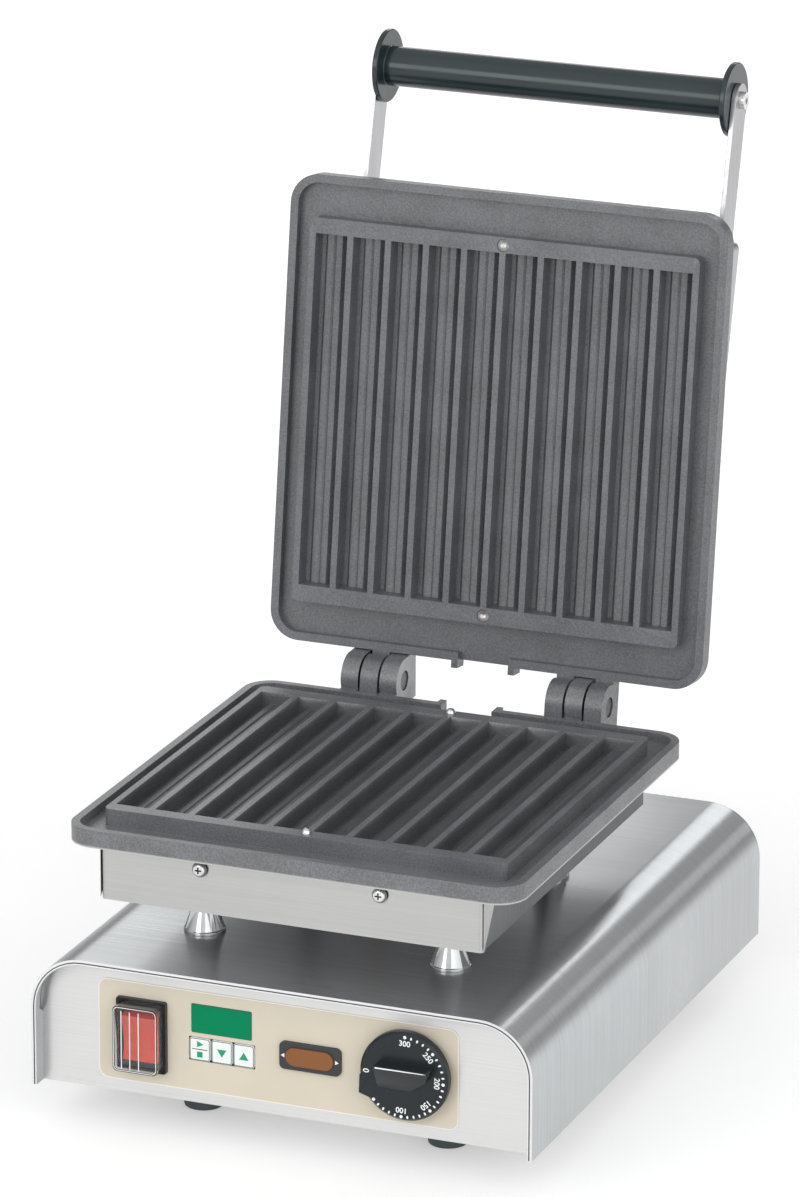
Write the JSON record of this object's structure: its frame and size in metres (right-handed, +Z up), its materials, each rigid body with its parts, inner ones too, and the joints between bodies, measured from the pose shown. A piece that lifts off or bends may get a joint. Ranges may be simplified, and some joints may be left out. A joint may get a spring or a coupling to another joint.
{
  "type": "waffle stick iron",
  "caption": "Table-top electric iron that bakes finger waffles between two hinged cast plates with long channels, with timer, thermostat and rocker switch.",
  "frame": {"origin": "on the table under the middle of the part's overall box", "axes": "+X to the right seen from the controls, +Y to the back, +Z up"},
  "size_m": [0.305, 0.4668, 0.5499],
  "materials": {
    "stainless": "brushed stainless sheet",
    "panel_steel": "fine-brushed stainless sheet, lighter than the cover",
    "coated_casting": "cast aluminium with a grainy dark grey non-stick coating",
    "fastener_steel": "bright steel",
    "standoff_chrome": "polished",
    "foot_rubber": "matt",
    "label_film": "cream polyester film, satin",
    "switch_black": "semi-gloss",
    "rocker_red": "translucent red, glossy",
    "splash_clear": "clear soft vinyl",
    "window_green": "tinted display window",
    "board_green": "printed board with its parts",
    "key_white": "satin film over a dome",
    "lens_amber": "translucent amber",
    "knob_black": "blue-black, semi-gloss",
    "device_grey": "plated steel case",
    "sensor_copper": "copper bulb and capillary",
    "ceramic": "ceramic body",
    "relay_blue": "moulded case",
    "gland_black": "nylon",
    "mineral_wool": "pressed mineral wool",
    "heater_sheath": "steel-sheathed tubular element",
    "clamp_steel": "plain steel plate",
    "grip_plastic": "dark green-black, glossy phenolic",
    "arm_steel": "satin stainless bar"
  },
  "bodies": {
    "base": {"base_cover": "stainless", "front_panel": "panel_steel", "rear_panel": "stainless", "bottom_plate": "stainless", "bottom_screws": "fastener_steel", "foot_front_left": "foot_rubber", "foot_front_right": "foot_rubber", "foot_rear_left": "foot_rubber", "foot_rear_right": "foot_rubber", "foot_screws": "fastener_steel", "standoff_front_left": "standoff_chrome", "standoff_front_right": "standoff_chrome", "standoff_rear_left": "standoff_chrome", "standoff_rear_right": "standoff_chrome", "standoff_bolts": "fastener_steel", "control_label": "label_film", "switch_body": "switch_black", "switch_splash_cover": "splash_clear", "timer_window": "window_green", "timer_board": "board_green", "lamp_bezel": "switch_black", "lamp_lens": "lens_amber", "thermostat_body": "device_grey", "thermostat_sensor": "sensor_copper", "safety_cutout": "ceramic", "heater_relay": "relay_blue", "terminal_block": "ceramic", "mains_gland": "gland_black", "base_lead_gland": "gland_black", "lower_pan": "panel_steel", "lower_pan_screws": "fastener_steel", "lower_insulation": "mineral_wool", "lower_heater": "heater_sheath", "lower_heater_clamp": "clamp_steel", "lower_clamp_screws": "fastener_steel", "lower_plate": "coated_casting", "locating_pins": "fastener_steel", "hinge_pin_left": "fastener_steel", "hinge_pin_right": "fastener_steel"},
    "lid": {"upper_plate": "coated_casting", "upper_heater": "heater_sheath", "upper_heater_clamp": "clamp_steel", "upper_clamp_screws": "fastener_steel", "upper_insulation": "mineral_wool", "lid_hood": "panel_steel", "lid_hood_screws": "fastener_steel", "lid_lead_gland": "gland_black", "handle_arm_left": "arm_steel", "handle_arm_right": "arm_steel", "arm_screws": "fastener_steel", "handle_rod": "fastener_steel", "handle_grip": "grip_plastic", "handle_bolts": "fastener_steel"},
    "thermostat_dial": {"thermostat_knob": "knob_black", "thermostat_shaft": "fastener_steel"},
    "rocker": {"switch_rocker": "rocker_red"},
    "key_start_stop": {"key_start_stop": "key_white"},
    "key_down": {"key_down": "key_white"},
    "key_up": {"key_up": "key_white"}
  },
  "joints": [
    {"name": "lid_hinge", "type": "hinge", "parent": "base", "child": "lid", "pos_m": [0, 0.08405, 0.1858], "axis": [1, 0, 0], "range_deg": [0, 97.6]},
    {"name": "thermostat_turn", "type": "hinge", "parent": "base", "child": "thermostat_dial", "pos_m": [0.0755, -0.22445, 0.0654], "axis": [0, 1, 0], "range_deg": [0, 270]},
    {"name": "switch_rock", "type": "hinge", "parent": "base", "child": "rocker", "pos_m": [-0.0874, -0.20945, 0.0632], "axis": [1, 0, 0], "range_deg": [-12, 0]},
    {"name": "key_start_stop_press", "type": "slide", "parent": "base", "child": "key_start_stop", "axis": [0, 1, 0], "range_m": [0, 0.0005], "stiffness_N_per_m": 400, "springref_m": -0.0005},
    {"name": "key_down_press", "type": "slide", "parent": "base", "child": "key_down", "axis": [0, 1, 0], "range_m": [0, 0.0005], "stiffness_N_per_m": 400, "springref_m": -0.0005},
    {"name": "key_up_press", "type": "slide", "parent": "base", "child": "key_up", "axis": [0, 1, 0], "range_m": [0, 0.0005], "stiffness_N_per_m": 400, "springref_m": -0.0005}
  ]
}
